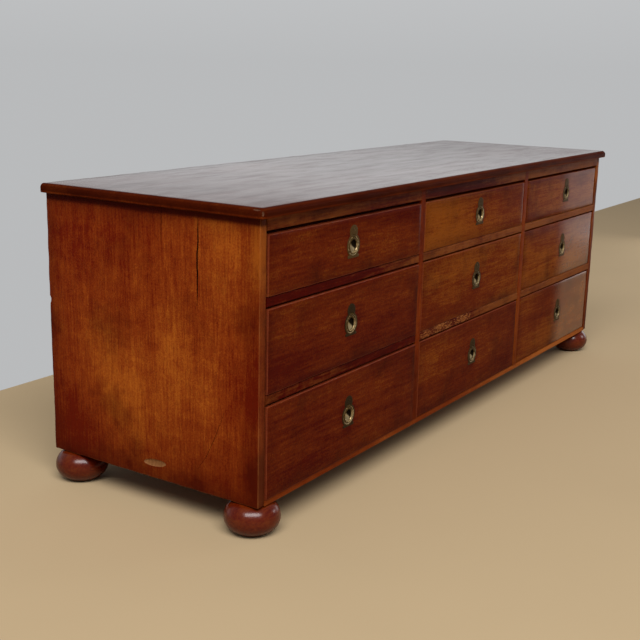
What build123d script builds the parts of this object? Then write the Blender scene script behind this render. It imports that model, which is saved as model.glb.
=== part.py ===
from build123d import *
import math
import os

os.makedirs("parts", exist_ok=True)

# Driving sizes, all in millimetres.
# The frame stands on the table at Z 0, the drawers face -Y, and the middle of the outline is X 0, Y 0.

# Case boards
case_width = 830
case_depth = 257
side_thickness = 9.6
divider_thickness = 10
shelf_thickness = 8.7
bottom_thickness = 5
back_thickness = 6
back_rebate = 5
top_rail_height = 11.6
top_rail_depth = 24
housing_depth = 3
housing_stop = 8
case_arris = 1
board_arris = 0.8

# Top board
top_thickness = 9.5
top_front_overhang = 7.5
top_side_overhang = 6.5
top_corner_radius = 6
top_upper_round = 5
top_lower_round = 1.5

# Bun feet
foot_radius = 26.25
foot_height = 30.5
foot_bulge_height = 15
foot_top_flat = 12
foot_base_flat = 9
foot_inset_front = 18.5
foot_inset_back = 21.5
tenon_radius = 5
tenon_edge_distance = 1.4

# Columns and rows of drawers
left_column_width = 272
centre_column_width = 264.4
upper_front_height = 54
middle_front_height = 77
lower_front_height = 87.5
left_column_proud = 1.2
centre_column_proud = 0.2
right_column_proud = -1

# Gaps round a drawer
gap_side = 0.8
gap_above = 1.8
upper_gap_above = 3
gap_below = 0.3

# Drawers
drawer_rear_gap = 11
front_thickness = 13
front_arris = 1.1
drawer_side_thickness = 6
drawer_back_thickness = 6
drawer_bottom_thickness = 4
drawer_bottom_rise = 4.5
drawer_side_drop = 2
drawer_groove = 2.5
drawer_back_rebate = 2
dovetail_lap = 9
dovetail_pitch = 20
dovetail_pin_width = 5
dovetail_slope = 1 / 7

# Drawer stops
stop_width = 22
stop_length = 12
stop_height = 3
stop_inset = 40
stop_gap = 0.3

# Pull plates
left_pull_shift = 0.4
centre_pull_shift = 3.5
right_pull_shift = 12.5
plate_radius = 11.4
plate_thickness = 1.2
plate_proud = 0.4
plate_edge = 0.25
lobe_radius = 7
lobe_height = 13
tail_width = 20
tail_height = 3
tail_drop = 10.2
cup_wall = 0.9
cup_straight_depth = 2.6
cup_depth = 5.6

# Pull rings and their hinges
ring_mean_radius = 6.9
ring_wire_radius = 1.3
ring_cup_clearance = 0.4
ring_proud = 0.5
hinge_height = 9.3
knuckle_radius = 1.2
knuckle_length = 2
barrel_half_length = 2.5
barrel_gap = 0.4
slot_gap = 0.3
neck_half_width = 1.8
neck_half_thickness = 1
pin_radius = 0.5
pin_clearance = 0.05

# Screw and nails of a pull
screw_height = 15.8
screw_head_radius = 1.8
screw_radius = 0.8
screw_length = 8
screw_slot_width = 0.4
screw_slot_depth = 0.35
nail_inset = 1.8
nail_radius = 0.5
nail_head_radius = 0.9
nail_head_thickness = 0.3
nail_length = 7

# Sizes worked out from those above, and one angle
quarter_turn = 90
tenon_length = bottom_thickness
foot_inset_side = side_thickness + tenon_edge_distance + tenon_radius
foot_reach_front = foot_radius - foot_inset_front
foot_reach_back = foot_radius - foot_inset_back
reach_front = max(top_front_overhang, foot_reach_front)
reach_back = max(0, foot_reach_back)
front_y = reach_front - (reach_front + case_depth + reach_back) / 2
back_y = front_y + case_depth
inner_back_y = back_y - back_thickness
drawer_length = case_depth - back_thickness - drawer_rear_gap
left_x = -case_width / 2
right_x = case_width / 2
case_bottom = foot_height
cup_radius = ring_mean_radius + ring_wire_radius + ring_cup_clearance
ring_y = ring_wire_radius - plate_proud - ring_proud
slot_half_width = barrel_half_length + barrel_gap

column_names = ("left", "centre", "right")
row_names = ("lower", "middle", "upper")
column_proud = dict(zip(column_names, (left_column_proud, centre_column_proud, right_column_proud)))
pull_shift = dict(zip(column_names, (left_pull_shift, centre_pull_shift, right_pull_shift)))
front_heights = dict(zip(row_names, (lower_front_height, middle_front_height, upper_front_height)))
gaps_above = dict(zip(row_names, (gap_above, gap_above, upper_gap_above)))


def column_spans():
    """The clear width of each column of drawers, as low and high X."""
    right_column_width = (
        case_width - 2 * side_thickness - 2 * divider_thickness - left_column_width - centre_column_width
    )
    spans = {}
    x = left_x + side_thickness
    for name, width in zip(column_names, (left_column_width, centre_column_width, right_column_width)):
        spans[name] = (x, x + width)
        x += width + divider_thickness
    return spans


def row_spans():
    """The clear height of each row of drawers, as low and high Z."""
    spans = {}
    z = case_bottom + bottom_thickness
    for name in row_names:
        top = z + gap_below + front_heights[name] + gaps_above[name]
        spans[name] = (z, top)
        z = top + shelf_thickness
    return spans


columns = column_spans()
rows = row_spans()
case_top = rows["upper"][1] + top_rail_height


def block(x, y, z):
    """A board between low and high values of X, Y and Z."""
    board = Box(x[1] - x[0], y[1] - y[0], z[1] - z[0], align=(Align.MIN, Align.MIN, Align.MIN))
    return Pos(x[0], y[0], z[0]) * board


def ease_front(board, along):
    """A board with its two front arrises along an axis eased."""
    return fillet(board.edges().filter_by(along).group_by(Axis.Y)[0], board_arris)


def round_bar_x(radius, length):
    """A round bar along X, about the origin."""
    return Rot(0, quarter_turn, 0) * Cylinder(radius, length)


def round_bar_y(radius, length, start=0):
    """A round bar along Y that starts at one depth and runs into the wood."""
    bar = Cylinder(radius, length, align=(Align.CENTER, Align.CENTER, Align.MIN))
    return Pos(0, start, 0) * Rot(-quarter_turn, 0, 0) * bar


# Case


def shelf(column, row):
    """The board under a drawer, with its ends in stopped housings in the uprights."""
    low_x, high_x = columns[column]
    top = rows[row][0]
    thickness = (top - shelf_thickness, top)
    board = ease_front(block((low_x, high_x), (front_y, inner_back_y), thickness), Axis.X)
    tongue = block(
        (low_x - housing_depth, high_x + housing_depth), (front_y + housing_stop, inner_back_y), thickness
    )
    return board + tongue


def top_rail(column):
    """The rail over the upper drawer of one column."""
    rail = block(columns[column], (front_y, front_y + top_rail_depth), (rows["upper"][1], case_top))
    return ease_front(rail, Axis.X)


def back_panel():
    """The back board, in rebates down the rear of both side panels."""
    inner = (left_x + side_thickness - back_rebate, right_x - side_thickness + back_rebate)
    return block(inner, (inner_back_y, back_y), (case_bottom, case_top))


def side_panel(sign, joined):
    """A side of the case, cut for the boards that join it."""
    outer = sign * case_width / 2
    inner = outer - sign * side_thickness
    panel = block((min(outer, inner), max(outer, inner)), (front_y, back_y), (case_bottom, case_top))
    outer_face = panel.faces().sort_by(Axis.X)[-1 if sign > 0 else 0]
    arrises = outer_face.edges().filter_by(Axis.Z)
    panel = fillet(arrises, case_arris)
    for board in joined:
        panel -= board
    return panel


def divider(left_column, joined):
    """An upright between two columns, cut for the shelves that join it."""
    low_x = columns[left_column][1]
    upright = block(
        (low_x, low_x + divider_thickness),
        (front_y, inner_back_y),
        (case_bottom + bottom_thickness, case_top),
    )
    upright = ease_front(upright, Axis.Z)
    for board in joined:
        upright -= board
    return upright


def bottom_board(feet):
    """The lowest board of the case, with a hole for each foot's tenon."""
    board = block(
        (left_x + side_thickness, right_x - side_thickness),
        (front_y, inner_back_y),
        (case_bottom, case_bottom + bottom_thickness),
    )
    for foot in feet:
        board -= foot
    return board


def top_board():
    """The top, standing over the case at its front and sides, flush at its back."""
    board = block(
        (left_x - top_side_overhang, right_x + top_side_overhang),
        (front_y - top_front_overhang, back_y),
        (case_top, case_top + top_thickness),
    )
    front_corners = board.edges().filter_by(Axis.Z).group_by(Axis.Y)[0]
    board = fillet(front_corners, top_corner_radius)
    upper_edges = board.faces().sort_by(Axis.Z)[-1].edges()
    board = fillet(upper_edges.sort_by(Axis.Y)[:-1], top_upper_round)
    lower_edges = board.faces().sort_by(Axis.Z)[0].edges()
    return fillet(lower_edges.sort_by(Axis.Y)[:-1], top_lower_round)


def bun_foot():
    """A turned bun with the tenon that holds it in the bottom board."""
    base = Line((0, 0), (foot_base_flat, 0))
    lower = EllipticalCenterArc(
        (foot_base_flat, foot_bulge_height),
        foot_radius - foot_base_flat,
        foot_bulge_height,
        -quarter_turn,
        arc_size=quarter_turn,
    )
    upper = EllipticalCenterArc(
        (foot_top_flat, foot_bulge_height),
        foot_radius - foot_top_flat,
        foot_height - foot_bulge_height,
        0,
        arc_size=quarter_turn,
    )
    tenon = Polyline(
        (foot_top_flat, foot_height),
        (tenon_radius, foot_height),
        (tenon_radius, foot_height + tenon_length),
        (0, foot_height + tenon_length),
        (0, 0),
    )
    profile = make_face(base + lower + upper + tenon)
    return revolve(Plane.XZ * profile, Axis.Z)


def foot_places():
    """Where the four feet stand."""
    side = case_width / 2 - foot_inset_side
    front = front_y + foot_inset_front
    back = back_y - foot_inset_back
    return {
        "front_left_foot": (-side, front),
        "front_right_foot": (side, front),
        "back_left_foot": (-side, back),
        "back_right_foot": (side, back),
    }


# Drawers


def drawer_spans(column, row):
    """A drawer front's low and high X and Z, and the Y of its face."""
    low_x, high_x = columns[column]
    low_z = rows[row][0] + gap_below
    face_y = front_y - column_proud[column]
    return (low_x + gap_side, high_x - gap_side), (low_z, low_z + front_heights[row]), face_y


def dovetails(x, back_of_front, z):
    """The tails on the front end of a drawer side, spaced evenly up its height."""
    count = max(2, round((z[1] - z[0]) / dovetail_pitch))
    pitch = (z[1] - z[0]) / count
    root = (pitch - dovetail_pin_width) / 2 - dovetail_lap * dovetail_slope
    tip = (pitch - dovetail_pin_width) / 2
    tails = []
    for i in range(count):
        middle = z[0] + (i + 0.5) * pitch
        shape = Polygon(
            (back_of_front, middle - root),
            (back_of_front, middle + root),
            (back_of_front - dovetail_lap, middle + tip),
            (back_of_front - dovetail_lap, middle - tip),
            align=None,
        )
        tails.append(extrude(Plane.YZ.offset(x[0]) * shape, x[1] - x[0]))
    return tails


def pull_place(column, row):
    """The middle of a pull, on the face of its drawer front and right of its middle by the shift."""
    x, z, face_y = drawer_spans(column, row)
    return sum(x) / 2 + pull_shift[column], face_y, sum(z) / 2


def drawer_boards(column, row):
    """The front blank and the four boards behind it, each cut for its neighbours."""
    x, z, face_y = drawer_spans(column, row)
    back_of_front = face_y + front_thickness
    rear = face_y + drawer_length
    side_z = (z[0], z[1] - drawer_side_drop)
    bottom_z = (z[0] + drawer_bottom_rise, z[0] + drawer_bottom_rise + drawer_bottom_thickness)
    inner_x = (x[0] + drawer_side_thickness, x[1] - drawer_side_thickness)

    bottom = block(
        (inner_x[0] - drawer_groove, inner_x[1] + drawer_groove), (back_of_front - drawer_groove, rear), bottom_z
    )
    back = block(
        (inner_x[0] - drawer_back_rebate, inner_x[1] + drawer_back_rebate),
        (rear - drawer_back_thickness, rear),
        (bottom_z[1], side_z[1]),
    )
    sides = []
    for side_x in ((x[0], inner_x[0]), (inner_x[1], x[1])):
        side = block(side_x, (back_of_front, rear), side_z)
        for tail in dovetails(side_x, back_of_front, side_z):
            side += tail
        sides.append(side - bottom - back)

    front = block(x, (face_y, back_of_front), z)
    front = fillet(front.faces().sort_by(Axis.Y)[0].edges(), front_arris)
    for board in (*sides, bottom):
        front -= board
    return front, [*sides, back, bottom]


def drawer_stops():
    """Two small blocks behind each drawer front, on the board that the drawer slides on."""
    stops = []
    for column in column_names:
        for row in row_names:
            x, z, face_y = drawer_spans(column, row)
            start = face_y + front_thickness + stop_gap
            floor = rows[row][0]
            for low_x in (x[0] + stop_inset, x[1] - stop_inset - stop_width):
                span = (low_x, low_x + stop_width)
                stops.append(block(span, (start, start + stop_length), (floor, floor + stop_height)))
    return stops


# Pulls, made about the middle of the cup on the drawer's face, which lies at Y 0


def plate_outline():
    """The plate's outline: a round body, a lobe above it and a flared tail below."""
    body = Circle(plate_radius)
    lobe = Pos(0, lobe_height) * Circle(lobe_radius)
    tail = Pos(0, -tail_drop) * SlotOverall(tail_width, tail_height)
    return Plane.XZ.offset(plate_proud) * (body + lobe + tail)


def dish(radius, start, straight_depth, depth):
    """A round hollow about the Y axis: a straight wall, then a shallow bowl."""
    rise = depth - straight_depth
    bowl_radius = (radius**2 + rise**2) / (2 * rise)
    rim_angle = math.degrees(math.acos(radius / bowl_radius))
    wall = Polyline((0, depth), (0, start), (radius, start), (radius, straight_depth))
    bowl = CenterArc((0, depth - bowl_radius), bowl_radius, rim_angle, quarter_turn - rim_angle)
    return revolve(make_face(wall + bowl), Axis.Y)


def hinge_slot():
    """The slot at the top of the cup that the ring's barrel turns in."""
    reach = knuckle_radius + slot_gap
    return block(
        (-slot_half_width, slot_half_width),
        (-plate_proud - reach, ring_y + reach),
        (ring_mean_radius, hinge_height + reach),
    )


def hinge_axis_bar(radius, length):
    """A round bar on the ring's hinge axis."""
    return Pos(0, ring_y, hinge_height) * round_bar_x(radius, length)


def pull_screw():
    """The countersunk screw in the lobe, without its slot."""
    head = Cone(
        screw_head_radius, screw_radius, plate_thickness, align=(Align.CENTER, Align.CENTER, Align.MIN)
    )
    shank = round_bar_y(screw_radius, screw_length, -plate_proud)
    return Pos(0, 0, screw_height) * (Pos(0, -plate_proud, 0) * Rot(-quarter_turn, 0, 0) * head + shank)


def pull_nails():
    """The two nails through the ends of the tail."""
    nails = []
    for sign in (-1, 1):
        shank = round_bar_y(nail_radius, nail_length, -plate_proud)
        head = round_bar_y(nail_head_radius, nail_head_thickness, -plate_proud - nail_head_thickness)
        nails.append(Pos(sign * (tail_width / 2 - nail_inset), 0, -tail_drop) * (head + shank))
    return nails


def knuckle_bars():
    """The plate's two knuckles, one on each side of the slot."""
    offset = slot_half_width + knuckle_length / 2
    bar = hinge_axis_bar(knuckle_radius, knuckle_length)
    return [Pos(-offset, 0, 0) * bar, Pos(offset, 0, 0) * bar]


def plate_blank():
    """The plate with its cup before the hollow is cut, which is also what its recess holds."""
    sheet = extrude(plate_outline(), -plate_thickness)
    sheet = chamfer(sheet.faces().sort_by(Axis.Y)[0].edges(), plate_edge)
    cup = dish(cup_radius + cup_wall, 0, cup_straight_depth, cup_depth + cup_wall)
    blank = sheet + cup
    for bar in knuckle_bars():
        blank += bar
    return blank


def pull_plate():
    """The plate with its cup, hinge knuckles and holes."""
    plate = plate_blank()
    plate -= dish(cup_radius, -plate_proud - cup_depth, cup_straight_depth, cup_depth)
    plate -= hinge_slot()
    plate -= hinge_axis_bar(pin_radius, 2 * (slot_half_width + knuckle_length))
    for fixing in (pull_screw(), *pull_nails()):
        plate -= fixing
    return plate


def pull_ring():
    """The ring, with the neck and barrel that hang it on its pin."""
    wire = Pos(0, ring_y, 0) * Rot(quarter_turn, 0, 0) * Torus(ring_mean_radius, ring_wire_radius)
    neck = block(
        (-neck_half_width, neck_half_width),
        (ring_y - neck_half_thickness, ring_y + neck_half_thickness),
        (ring_mean_radius, hinge_height),
    )
    barrel = hinge_axis_bar(knuckle_radius, 2 * barrel_half_length)
    bore = hinge_axis_bar(pin_radius + pin_clearance, 2 * barrel_half_length)
    return wire + neck + barrel - bore


def pull_fixings():
    """The hinge pin, the slotted screw and the two nails of one pull."""
    pin = hinge_axis_bar(pin_radius, 2 * (slot_half_width + knuckle_length))
    slot = block(
        (-screw_head_radius, screw_head_radius),
        (-plate_proud, screw_slot_depth - plate_proud),
        (screw_height - screw_slot_width / 2, screw_height + screw_slot_width / 2),
    )
    return [pin, pull_screw() - slot, *pull_nails()]


def pull_recess():
    """What is cut from a drawer front to let in one pull."""
    recess = plate_blank() + hinge_slot()
    for fixing in (pull_screw(), *pull_nails()):
        recess += fixing
    return recess


# Every piece, by the name of its node


def build_case():
    """The pieces that stay still, each list holding the separate solids of one node."""
    feet = {name: Pos(x, y, 0) * bun_foot() for name, (x, y) in foot_places().items()}
    upper_shelves = {column: shelf(column, "upper") for column in column_names}
    lower_shelves = {column: shelf(column, "middle") for column in column_names}
    back = back_panel()

    def shelves_of(*names):
        return [level[name] for level in (upper_shelves, lower_shelves) for name in names]

    nodes = {
        "top_board": [top_board()],
        "left_side_panel": [side_panel(-1, [*shelves_of("left"), back])],
        "right_side_panel": [side_panel(1, [*shelves_of("right"), back])],
        "left_divider": [divider("left", shelves_of("left", "centre"))],
        "right_divider": [divider("centre", shelves_of("centre", "right"))],
        "top_rails": [top_rail(column) for column in column_names],
        "upper_shelves": list(upper_shelves.values()),
        "lower_shelves": list(lower_shelves.values()),
        "bottom_board": [bottom_board(feet.values())],
        "back_panel": [back],
        "drawer_stops": drawer_stops(),
    }
    for name, foot in feet.items():
        nodes[name] = [foot]
    return nodes


def build_drawers():
    """The nine drawers with their pulls, each list holding the separate solids of one node."""
    plate = pull_plate()
    ring = pull_ring()
    fixings = pull_fixings()
    recess = pull_recess()
    nodes = {}
    for row in row_names:
        for column in column_names:
            place = Pos(*pull_place(column, row))
            front, boards = drawer_boards(column, row)
            name = f"{row}_{column}"
            nodes[f"{name}_drawer_front"] = [front - place * recess]
            nodes[f"{name}_drawer_box"] = boards
            nodes[f"{name}_pull_plate"] = [place * plate]
            nodes[f"{name}_pull_ring"] = [place * ring]
            nodes[f"{name}_pull_fixings"] = [place * fixing for fixing in fixings]
    return nodes


def write_parts():
    """Writes one STEP file for each node."""
    for name, shapes in {**build_case(), **build_drawers()}.items():
        solids = [solid for shape in shapes for solid in shape.solids()]
        node = solids[0] if len(solids) == 1 else Compound(solids)
        node.label = name
        export_step(node, f"parts/{name}.step")


if __name__ == "__main__":
    write_parts()
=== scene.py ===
"""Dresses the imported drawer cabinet: worn stained wood, varnish and brass, with its stage."""

import math
import random
from contextlib import contextmanager

import bmesh
import bpy
from mathutils import Matrix, Vector


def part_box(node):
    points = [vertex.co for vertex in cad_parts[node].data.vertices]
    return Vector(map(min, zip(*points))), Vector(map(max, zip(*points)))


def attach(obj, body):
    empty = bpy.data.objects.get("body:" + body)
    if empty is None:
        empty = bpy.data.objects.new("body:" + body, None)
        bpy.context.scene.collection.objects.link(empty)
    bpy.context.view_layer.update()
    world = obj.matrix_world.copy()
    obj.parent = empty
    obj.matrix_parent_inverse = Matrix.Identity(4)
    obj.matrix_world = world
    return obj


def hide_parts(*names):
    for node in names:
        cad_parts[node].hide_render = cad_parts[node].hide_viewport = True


bl_info = {
    "name": "Tabletop drawer cabinet",
    "version": (1, 0, 0),
    "blender": (4, 5, 0),
    "location": "View3D > Sidebar > Cabinet",
    "description": "Worn wood, varnish and brass for a tabletop cabinet of nine drawers",
    "category": "Object",
}

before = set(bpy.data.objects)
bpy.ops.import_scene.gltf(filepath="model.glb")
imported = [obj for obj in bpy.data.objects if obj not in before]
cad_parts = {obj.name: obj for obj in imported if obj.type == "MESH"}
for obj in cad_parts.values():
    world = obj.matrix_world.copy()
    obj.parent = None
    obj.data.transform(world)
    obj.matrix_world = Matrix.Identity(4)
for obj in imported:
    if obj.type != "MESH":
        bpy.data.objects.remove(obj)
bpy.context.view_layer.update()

MM = 0.001

# How near two points are before they count as one
WELD = 0.000002

# Keeps the top and the feet just inside the CAD model's box
SKIN = Vector((0.01 * MM, 0.01 * MM, 0.01 * MM))
FEET = ("front_left_foot", "front_right_foot", "back_left_foot", "back_right_foot")

# Each drawer: how its front's tone stands to the others, how much it changes from the front's middle to its
# top, and how tarnished its pull is outside its cup, and in the cup and on the ring
DRAWERS = {
    "lower_left": (-0.12, 0.03, 0.75, 0),
    "lower_centre": (-0.06, 0, 0.55, 0.35),
    "lower_right": (0.07, -0.02, 0.2, 0.45),
    "middle_left": (-0.06, 0.06, 0.75, 0.1),
    "middle_centre": (0.04, 0.05, 0.4, 0.35),
    "middle_right": (0.06, 0.03, 0.15, 0.1),
    "upper_left": (-0.06, -0.1, 0, 0),
    "upper_centre": (0.13, 0, 0.35, 0.1),
    "upper_right": (0.08, 0.02, 0.15, 0.3),
}

# Dirt around each pull: how dark at its middle, and how far out it reaches
PULL_DIRT = 0.3
PULL_DIRT_REACH = 19 * MM

# Glossier varnish on the drawer fronts: how much, over which stretch of X it comes in, and how much of it is
# lost again between two heights
POLISH = 0.84
POLISH_ACROSS = (0.262, 0.315)
POLISH_LOST = 0.74
POLISH_HEIGHTS = (0.14, 0.23)

# Damage to the left side, as (Y, Z) places: a crack's ends, its share of the widest crack, and its depth.
# CRACK_ENDS is how wide a crack still is at its ends, as a share of its middle
CRACKS = (
    ((-0.0173, 0.291), (-0.0167, 0.256), 0.32, 0.002),
    ((-0.0595, 0.287), (-0.058, 0.206), 0.9, 0.004),
)
CRACK_STEPS = 14
CRACK_SWAY = 0.0007
CRACK_SEED = 3
CRACK_ENDS = 0.12
CURVED_CRACK = ((-0.0896, 0.116), (-0.085, 0.104), (-0.077, 0.085), (-0.068, 0.067), (-0.0569, 0.0515))
CURVED_SHARE = 0.22
CURVED_DEPTH = 0.0008
BARE_PATCH = (-0.0053, 0.0464)
PATCH_SIZE = (0.0011, 0.0138, 0.0036)
PATCH_TILT = math.radians(-6)
NOTCH_Z = 0.1856
NOTCH_SIZE = (0.003, 0.0022, 0.004)

# Rounding of the side panels' arrises
SIDE_ARRIS = 1 * MM

# Paler and darker clouds on the side panels: a Y and Z place, its reach both ways, and its change of tone
SIDE_CLOUDS = (
    (-0.03, 0.15, 0.032, 0.06, 0.17),
    (0.03, 0.1, 0.05, 0.05, 0.06),
    (0.095, 0.075, 0.05, 0.045, -0.2),
    (0.1, 0.25, 0.06, 0.05, -0.06),
    (-0.126, 0.262, 0.0075, 0.035, 0.3),
    (-0.121, 0.13, 0.009, 0.09, -0.25),
    (-0.02, 0.045, 0.2, 0.035, -0.1),
    (-0.1, 0.15, 0.02, 0.08, -0.12),
    (-0.06, 0.19, 0.01, 0.05, -0.1),
)

# The top board's rounded corners and edges, and the chips at its near corner: how far in, and half lengths
TOP_CORNER = 6 * MM
TOP_UPPER = 5 * MM
TOP_LOWER = 1.5 * MM
CORNER_CHIPS = (
    ((0.0012, 0.0075, -0.0016), (0.0014, 0.0042, 0.0009)),
    ((0.0021, 0.0017, -0.0044), (0.0011, 0.001, 0.0022)),
    ((0.0006, 0.024, -0.001), (0.0009, 0.006, 0.0007)),
)

# Dulled varnish on the top, from its left end, its right end and its near corner: how much, and how far in
DULL_LEFT = (0.24, 0.13)
DULL_RIGHT = (0.18, 0.25)
DULL_CORNER = (0.2, 0.05, 0.035)

# A pull, about the middle of its cup, with heights out from the drawer front
PLATE_RADIUS = 11.4 * MM
PLATE_THICKNESS = 1.2 * MM
PLATE_PROUD = 0.4 * MM
PLATE_EASE = 0.15 * MM
LOBE_RADIUS = 7 * MM
LOBE_HEIGHT = 13 * MM
TAIL_WIDTH = 20 * MM
TAIL_HEIGHT = 3 * MM
TAIL_DROP = 10.2 * MM
CUP_RADIUS = 8.6 * MM
CUP_WALL = 0.9 * MM
CUP_EDGE = -0.9 * MM
CUP_BOTTOM = -4.6 * MM
CUP_SLOPE = 3 * MM
CUP_BACK_EDGE = -2.6 * MM
CUP_BACK = -7 * MM
RING_RADIUS = 7 * MM
WIRE_RADIUS = 1.05 * MM
HINGE_HEIGHT = 9.3 * MM
HINGE_Y = 0.4 * MM
KNUCKLE_RADIUS = 1.2 * MM
KNUCKLE_LENGTH = 2 * MM
BARREL_HALF = 2.5 * MM
SLOT_HALF = 2.9 * MM
SLOT_SPARE = 0.3 * MM
SCREW_HEIGHT = 15.8 * MM
SCREW_SHANK = 0.8 * MM
NAIL_SHANK = 0.5 * MM
NAIL_INSET = 1.8 * MM
PIN_RADIUS = 0.5 * MM
RECESS_SPARE = 0.1 * MM
PLATE_VOXEL = 0.28 * MM
RING_VOXEL = 0.22 * MM

# A bun foot: its flat base, the flats that its lower and upper curves end on, and how high up it is widest
BUN_BASE = 8.2 * MM
BUN_LOWER = 9 * MM
BUN_UPPER = 12 * MM
BUN_BULGE = 0.49

# The stage's lamps: name, place, length, height and power. All face the middle of the cabinet
LAMPS = (
    ("key", (-1.9, -1.4, 2.7), 3.4, 1.2, 158),
    ("window", (1.5, -0.26, 0.21), 0.7, 0.42, 1.2),
    ("sparkle", (1.2, -1.05, 0.62), 0.35, 0.35, 2.2),
)
LAMPS_FACE = Vector((0, 0, 0.15))

# The pale wall: (height, brightness) stops, which way it stands and how it begins, and the room's grey
WALL_STOPS = ((0.0, 0.5), (0.07, 0.54), (0.095, 0.8), (0.2, 0.86), (0.35, 0.5), (0.9, 0.3))
WALL_DIRECTION = (0.66, 0.75, 0)
WALL_SPREAD = (0.1, 0.7)
ROOM_COLOUR = (0.22, 0.22, 0.225, 1)

# The camera that was fitted to the photo's straight edges, with its turns in radians
CAMERA_PLACE = (-1.11437, -0.64718, 0.41863)
CAMERA_YAW = 0.9899
CAMERA_PITCH = 0.2405
CAMERA_ROLL = -0.0230
CAMERA_LENS = 59.47


# Modelling helpers


def only(piece):
    """Makes one object the selected and active one."""
    bpy.ops.object.select_all(action="DESELECT")
    piece.select_set(True)
    bpy.context.view_layer.objects.active = piece


@contextmanager
def editing(piece):
    """Edit mode on one object."""
    only(piece)
    bpy.ops.object.mode_set(mode="EDIT")
    yield
    bpy.ops.object.mode_set(mode="OBJECT")


def pick(piece, test):
    """In edit mode, selects the edges that pass a test."""
    bpy.ops.mesh.select_mode(type="EDGE")
    bpy.ops.mesh.select_all(action="DESELECT")
    for edge in bmesh.from_edit_mesh(piece.data).edges:
        if test(edge):
            edge.select_set(True)
    bmesh.update_edit_mesh(piece.data)


def middle(edge):
    """The middle of an edge."""
    return (edge.verts[0].co + edge.verts[1].co) / 2


def run(edge):
    """An edge from end to end."""
    return edge.verts[1].co - edge.verts[0].co


def sharp(edge, angle=math.radians(40)):
    """Whether the faces beside an edge turn from each other."""
    return len(edge.link_faces) == 2 and edge.calc_face_angle(0) > angle


def finish_with(piece, kind, **settings):
    """Adds a modifier and applies it."""
    only(piece)
    modifier = piece.modifiers.new(kind.lower(), kind)
    for key, value in settings.items():
        setattr(modifier, key, value)
    bpy.ops.object.modifier_apply(modifier=modifier.name)


def cut(piece, cutter, crossing=False):
    """Cuts a cutter, whose own forms may be crossing, out of a piece and throws it away."""
    settings = {"object": cutter, "operation": "DIFFERENCE", "use_self": crossing}
    finish_with(piece, "BOOLEAN", solver="EXACT", material_mode="TRANSFER", **settings)
    bpy.data.objects.remove(cutter)


def copy_at(piece, name, offset):
    """A copy of an object with its own mesh, moved by an offset in that mesh."""
    twin = piece.copy()
    twin.data = piece.data.copy()
    twin.name = twin.data.name = name
    twin.data.transform(Matrix.Translation(offset))
    bpy.context.scene.collection.objects.link(twin)
    return twin


def add_primitive(name, kind, **settings):
    """One of Blender's own starting shapes, with its place, turn and scale in its mesh."""
    bpy.ops.object.select_all(action="DESELECT")
    getattr(bpy.ops.mesh, f"primitive_{kind}_add")(**settings)
    bpy.ops.object.transform_apply(location=True, rotation=True, scale=True)
    piece = bpy.context.object
    piece.name = piece.data.name = name
    return piece


def add_chain(name, points):
    """A chain of edges through some points, all selected, drawn from one vertex."""
    piece = add_primitive(name, "plane", size=MM)
    with editing(piece):
        bpy.ops.mesh.select_mode(type="VERT")
        bpy.ops.mesh.select_all(action="SELECT")
        bpy.ops.mesh.merge(type="CENTER")
        bpy.ops.transform.translate(value=points[0])
        for start, end in zip(points, points[1:]):
            move = [e - s for s, e in zip(start, end)]
            bpy.ops.mesh.extrude_vertices_move(TRANSFORM_OT_translate={"value": move})
        bpy.ops.mesh.select_all(action="SELECT")
    return piece


def add_block(name, low, high):
    """A block between two corners."""
    low = Vector(low)
    high = Vector(high)
    return add_primitive(name, "cube", size=1, location=(low + high) / 2, scale=high - low)


def divide(piece, cells):
    """Divides a block into cells of about these lengths along X, Y and Z."""
    low, high = corners(piece)
    with editing(piece):
        for axis in range(3):
            cuts = round((high[axis] - low[axis]) / cells[axis]) - 1
            if cuts > 0:
                pick(piece, lambda e: abs(run(e).normalized()[axis]) > 0.9)
                bpy.ops.mesh.subdivide(number_cuts=cuts)


def corners(piece):
    """The lowest and highest corner of an object's mesh."""
    places = [v.co for v in piece.data.vertices]
    return Vector(map(min, *places)), Vector(map(max, *places))


def round_edges(piece, test, radius, segments):
    """Bevels the edges that pass a test."""
    with editing(piece):
        pick(piece, test)
        bpy.ops.mesh.bevel(offset=radius, segments=segments, affect="EDGES", clamp_overlap=False)


def mark(piece, name, rule):
    """Writes a number for each vertex under a name that materials can read."""
    layer = piece.data.attributes.get(name) or piece.data.attributes.new(name, "FLOAT", "POINT")
    layer.data.foreach_set("value", [rule(v.co) for v in piece.data.vertices])


def ease(value, start, end):
    """A smooth rise from none to one between two values."""
    t = min(1, max(0, (value - start) / (end - start)))
    return t * t * (3 - 2 * t)


def fade(distance, reach):
    """One at no distance, and nearly none at twice the reach."""
    return math.exp(-((distance / reach) ** 2))


def insets(place, low, high):
    """How far a place is in from the nearer end of a block, along X, Y and Z."""
    return [max(0, min(place[i] - low[i], high[i] - place[i])) for i in range(3)]


def mark_insets(piece, low, high):
    """Writes each vertex's insets where materials can read them."""
    layer = piece.data.attributes.new("inset", "FLOAT_VECTOR", "POINT")
    flat = [inset for v in piece.data.vertices for inset in insets(v.co, low, high)]
    layer.data.foreach_set("vector", flat)


def wear_arrises(piece, low, high, width, depth, grain):
    """Rubs the arrises of a block down unevenly."""
    group = piece.vertex_groups.new(name="arris")
    for v in piece.data.vertices:
        nearest = sorted(insets(v.co, low, high))
        amount = 1 - math.hypot(nearest[0], nearest[1]) / width
        if amount > 0:
            group.add([v.index], amount, "REPLACE")
    texture = bpy.data.textures.new(piece.name + "_rub", "CLOUDS")
    texture.noise_scale = grain
    texture.noise_depth = 3
    texture.contrast = 2.2
    settings = {"texture": texture, "texture_coords": "LOCAL", "vertex_group": "arris"}
    finish_with(piece, "DISPLACE", strength=-depth, mid_level=-0.25, **settings)
    piece.vertex_groups.clear()


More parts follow.
